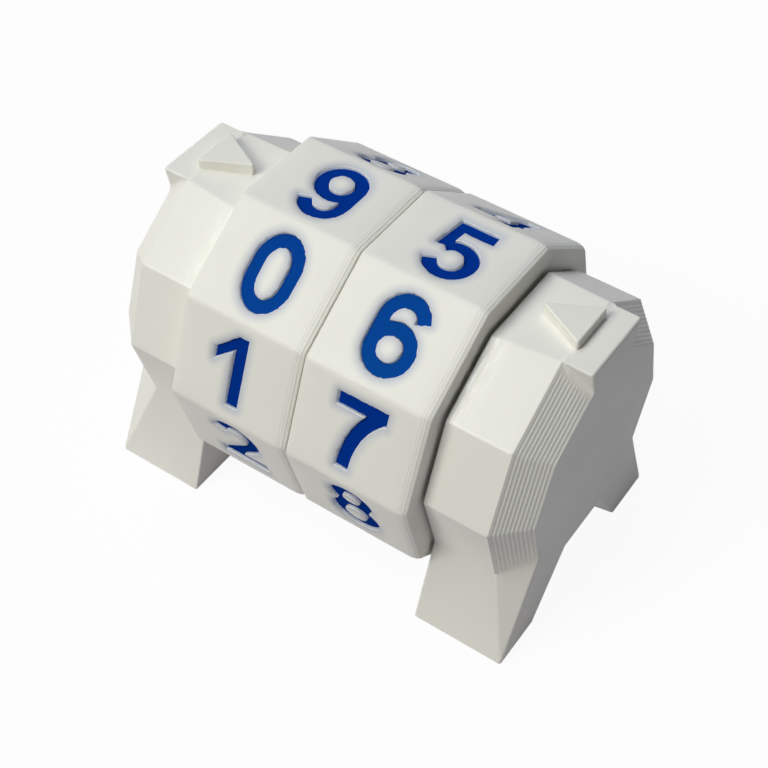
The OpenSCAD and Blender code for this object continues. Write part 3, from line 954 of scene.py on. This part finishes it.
def grid_facets(shape, middle):
    """Cuts the facets into small squares, whose corners carry the painted shade."""
    facets = [face for face in shape.faces if on_facet_plane(face)]
    bmesh.ops.triangulate(shape, faces=facets)
    steps = int((DIGIT_STRIP + DIP_REACH) / PAINTED_SHADE_GRID)
    for step in range(-steps, steps + 1):
        facets = [face for face in shape.faces if on_facet_plane(face)]
        cut_faces(shape, facets, (middle + step * PAINTED_SHADE_GRID, 0, 0), (1, 0, 0))
    steps = int(DRUM_REACH * sin(radians(HALF_TURN)) / PAINTED_SHADE_GRID)
    for facet in range(FACETS):
        normal = facet_normal(facet)
        across = Vector((0, normal.z, -normal.y))
        own = [face for face in shape.faces
               if abs(reach(face.calc_center_median(), facet) - DRUM_REACH) < NEAR]
        for step in range(-steps, steps + 1):
            place = Vector((0, 0, AXLE_HEIGHT)) + across * step * PAINTED_SHADE_GRID
            cut = cut_faces(shape, own, place, across)
            own += [part for part in cut if isinstance(part, bmesh.types.BMFace)]
            own = [face for face in dict.fromkeys(own) if face.is_valid]


def digit_tree(word):
    """The digits of one drum as a tree that finds the nearest point."""
    points, faces = [], []
    for digit in DIGITS:
        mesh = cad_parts[f"{word}_digit_{digit}"].data
        first = len(points)
        points += [vert.co.copy() for vert in mesh.vertices]
        faces += [[first + i for i in polygon.vertices] for polygon in mesh.polygons]
    return BVHTree.FromPolygons(points, faces)


def dip_to_pockets(shape, tree):
    """Lets the facets sink toward each pocket, and notes how far and on which side of a digit they lie."""
    distance = shape.verts.layers.float.new("digit_distance")
    side = shape.verts.layers.float.new("digit_side")
    for vert in shape.verts:
        facet = facet_of(vert.co)
        height = reach(vert.co, facet) - DRUM_REACH
        nearest, _, _, apart = tree.find_nearest(vert.co)
        beside = sqrt(max(0, apart ** 2 - INLAY_SUNK ** 2))
        normal = facet_normal(facet)
        vert[distance] = beside / MM
        vert[side] = max(-1, min(1, (vert.co.x - nearest.x) / max(beside, NEAR)))
        sink = max(0, height)
        if height > -3 * POCKET_ROUND:
            sink += POCKET_DIP * max(0, 1 - beside / DIP_REACH) ** 3
        vert.co -= normal * sink


class COUNTER_OT_drums(bpy.types.Operator):
    """Make both drums, with soft creases, fine rims round the pockets and painted shade near the digits"""
    bl_idname = "counter.drums"
    bl_label = "Drums"

    def execute(self, context):
        looks = context.scene.counter_surface
        sizes = context.scene.counter_roundings
        colours = context.scene.counter_colours
        white = printed_white(
            "Printed white PLA, drums", colours, colours.shell, looks.drum_ribs, shade_near_digits=True)
        # The pocket walls' colour carries painted blue bounce light
        walls = printed_white(
            "Printed white PLA, pocket walls", colours, colours.pocket, looks.drum_ribs,
            see_through=True)
        for side, word in ((-1, "tens"), (1, "units")):
            low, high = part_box(f"{word}_drum")
            middle = (low[0] + high[0]) / 2
            shape = merged_copy(f"{word}_drum")
            creases = [edge for edge in shape.edges if is_drum_crease(edge)]
            round_edges(shape, creases, sizes.drum_crease)
            bed = [edge for edge in shape.edges if is_bed_edge(edge, low[0])]
            round_edges(shape, bed, sizes.bed_edge, FINE_STEPS)
            rims = [edge for edge in shape.edges if is_pocket_rim(edge, middle)]
            round_edges(shape, rims, POCKET_ROUND, FINE_STEPS)
            step_rim(shape, high[0])
            fray_pockets(shape, middle)
            for face in shape.faces:
                face.material_index = 1 if is_pocket_wall(face, middle) else 0
            grid_facets(shape, middle)
            dip_to_pockets(shape, digit_tree(word))
            finish_piece(shape, f"printed_{word}_drum", f"{word}_drum", f"{word}_wheel",
                         [white, walls])
        return {"FINISHED"}


class COUNTER_OT_digits(bpy.types.Operator):
    """Make the sunk digits of blue plastic, a little deeper where the facets dip toward them"""
    bl_idname = "counter.digits"
    bl_label = "Digits"

    def execute(self, context):
        colours = context.scene.counter_colours
        blue = printed_blue("Printed blue PLA, digits", colours.digit,
                            2 * context.scene.counter_surface.drum_ribs)
        for word in ("tens", "units"):
            for digit in DIGITS:
                node = f"{word}_digit_{digit}"
                shape = merged_copy(node)
                for vert in shape.verts:
                    facet = facet_of(vert.co)
                    if reach(vert.co, facet) > DRUM_REACH - INLAY_SUNK - NEAR:
                        vert.co -= facet_normal(facet) * SUNK_MORE
                finish_piece(shape, f"printed_{node}", node, f"{word}_wheel", [blue])
        return {"FINISHED"}


class COUNTER_OT_inner_parts(bpy.types.Operator):
    """Give the axle and the click rings their white plastic"""
    bl_idname = "counter.inner_parts"
    bl_label = "Inner parts"

    def execute(self, context):
        colours = context.scene.counter_colours
        white = printed_white(
            "Printed white PLA, inner parts", colours, colours.shell,
            context.scene.counter_surface.cap_ribs)
        for node in ("axle", "tens_click_ring", "units_click_ring"):
            dress_node(node, white)
        return {"FINISHED"}


def dress_node(node, material):
    """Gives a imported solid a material."""
    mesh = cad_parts[node].data
    mesh.materials.clear()
    mesh.materials.append(material)


# Stage

def add_lamp(name, place, power, colour, stage):
    """A round lamp that looks at the middle of the axle."""
    lamp = bpy.data.lights.new(name, "AREA")
    lamp.shape = "DISK"
    lamp.size = stage.lamp_size
    lamp.energy = power
    lamp.color = colour
    turn, rise = (radians(angle) for angle in place)
    outward = Vector((sin(turn) * cos(rise), -cos(turn) * cos(rise), sin(rise)))
    holder = bpy.data.objects.new(name, lamp)
    holder.location = Vector((0, 0, AXLE_HEIGHT)) + outward * stage.lamp_distance
    holder.rotation_euler = (-outward).to_track_quat("-Z", "Y").to_euler()
    bpy.context.scene.collection.objects.link(holder)


def pale_floor(colours):
    """A matte pale board: nearly white to the camera, with the counter's shadow left in it."""
    material, tree = new_material("Matte pale board")
    place = add_node(tree, "ShaderNodeTexCoord").outputs["Object"]
    tooth = add_node(
        tree, "ShaderNodeTexNoise", {"Scale": 1 / FLOOR_TOOTH, "Detail": 2}, {"Vector": place})
    darker = tuple(c * TOOTH_SHADE for c in colours.ground[:3]) + (1,)
    colour = add_node(
        tree, "ShaderNodeMix", {"A": tuple(colours.ground), "B": darker},
        {"Factor": tooth.outputs["Fac"]}, data_type="RGBA").outputs["Result"]
    seen = add_node(tree, "ShaderNodeLightPath")
    # What the board throws back onto the counter is dimmer and warmer than what the eye sees of it
    bounce = add_node(
        tree, "ShaderNodeMix", {"A": tuple(colours.ground_bounce)},
        {"Factor": seen.outputs["Is Camera Ray"], "B": colour}, data_type="RGBA").outputs["Result"]
    board = add_node(tree, "ShaderNodeBsdfDiffuse", {"Roughness": 0.5}, {"Color": bounce})
    glow = add_node(tree, "ShaderNodeEmission", {"Color": linear("FFFFFF"), "Strength": 1})
    either = add_node(
        tree, "ShaderNodeMath", {},
        {0: seen.outputs["Is Camera Ray"], 1: seen.outputs["Is Glossy Ray"]}, operation="MAXIMUM")
    share = add_node(
        tree, "ShaderNodeMath", {1: FLOOR_GLOW}, {0: either.outputs[0]}, operation="MULTIPLY")
    both = add_node(
        tree, "ShaderNodeMixShader", {},
        {0: share.outputs[0], 1: board.outputs[0], 2: glow.outputs[0]})
    add_node(tree, "ShaderNodeOutputMaterial", links={"Surface": both.outputs[0]})
    return material


def light_room(strength):
    world = bpy.data.worlds.new("Soft studio")
    world.use_nodes = True
    tree = world.node_tree
    tree.nodes.clear()
    seen = add_node(tree, "ShaderNodeLightPath")
    either = add_node(
        tree, "ShaderNodeMath", {},
        {0: seen.outputs["Is Camera Ray"], 1: seen.outputs["Is Glossy Ray"]}, operation="MAXIMUM")
    either = add_node(
        tree, "ShaderNodeMath", {},
        {0: either.outputs[0], 1: seen.outputs["Is Transmission Ray"]}, operation="MAXIMUM")
    room = add_node(tree, "ShaderNodeBackground", {"Color": linear("E4EAF6"), "Strength": strength})
    plain = add_node(tree, "ShaderNodeBackground", {"Color": linear("FFFFFF"), "Strength": 1})
    both = add_node(
        tree, "ShaderNodeMixShader", {},
        {0: either.outputs[0], 1: room.outputs[0], 2: plain.outputs[0]})
    add_node(tree, "ShaderNodeOutputWorld", links={"Surface": both.outputs[0]})
    bpy.context.scene.world = world


class COUNTER_OT_stage(bpy.types.Operator):
    """Set up the pale floor, the soft lamps and the camera"""
    bl_idname = "counter.stage"
    bl_label = "Stage"

    def execute(self, context):
        stage = context.scene.counter_stage
        shape = bmesh.new()
        bmesh.ops.create_grid(shape, x_segments=1, y_segments=1, size=FLOOR_REACH)
        bmesh.ops.translate(shape, verts=shape.verts, vec=(0, 0, cad_box[0][2] - NEAR))
        mesh = bpy.data.meshes.new("floor")
        shape.to_mesh(mesh)
        shape.free()
        mesh.materials.append(pale_floor(context.scene.counter_colours))
        ground = bpy.data.objects.new("floor", mesh)
        context.scene.collection.objects.link(ground)
        light_room(stage.room_light)
        add_lamp("front lamp", FRONT_LAMP, stage.front_power, stage.front_colour, stage)
        add_lamp("high lamp", HIGH_LAMP, stage.high_power, stage.high_colour, stage)
        add_lamp("back lamp", BACK_LAMP, stage.back_power, stage.high_colour, stage)
        camera = bpy.data.cameras.new("camera")
        camera.sensor_width = FILM_WIDTH
        camera.lens = stage.camera_lens
        camera.clip_start = SEEN_FROM
        camera.clip_end = SEEN_TO
        holder = bpy.data.objects.new("camera", camera)
        holder.location = stage.camera_place
        holder.rotation_euler = Euler(stage.camera_turn, "XYZ")
        context.scene.collection.objects.link(holder)
        context.scene.camera = holder
        context.scene.view_settings.view_transform = "Standard"
        return {"FINISHED"}


class COUNTER_PT_panel(bpy.types.Panel):
    """The life counter's pieces and settings"""
    bl_label = "Life Counter"
    bl_idname = "COUNTER_PT_panel"
    bl_space_type = "VIEW_3D"
    bl_region_type = "UI"
    bl_category = "Life Counter"

    def draw(self, context):
        for name, group in GROUPS.items():
            box = self.layout.box()
            for setting in group.__annotations__:
                box.prop(getattr(context.scene, name), setting)
        for operator in OPERATORS:
            self.layout.operator(operator.bl_idname)


GROUPS = {
    "counter_colours": CounterColours,
    "counter_surface": CounterSurface,
    "counter_roundings": CounterRoundings,
    "counter_stage": CounterStage,
}
OPERATORS = (
    COUNTER_OT_stage,
    COUNTER_OT_end_caps,
    COUNTER_OT_drums,
    COUNTER_OT_digits,
    COUNTER_OT_inner_parts,
)


def register():
    for name, group in GROUPS.items():
        bpy.utils.register_class(group)
        setattr(bpy.types.Scene, name, PointerProperty(type=group))
    for kind in (*OPERATORS, COUNTER_PT_panel):
        bpy.utils.register_class(kind)


def unregister():
    for kind in (COUNTER_PT_panel, *reversed(OPERATORS)):
        bpy.utils.unregister_class(kind)
    for name, group in GROUPS.items():
        delattr(bpy.types.Scene, name)
        bpy.utils.unregister_class(group)


def main():
    register()
    bpy.ops.counter.stage()
    bpy.ops.counter.end_caps()
    bpy.ops.counter.drums()
    bpy.ops.counter.digits()
    bpy.ops.counter.inner_parts()
    bpy.context.view_layer.update()


if __name__ == "__main__":
    main()
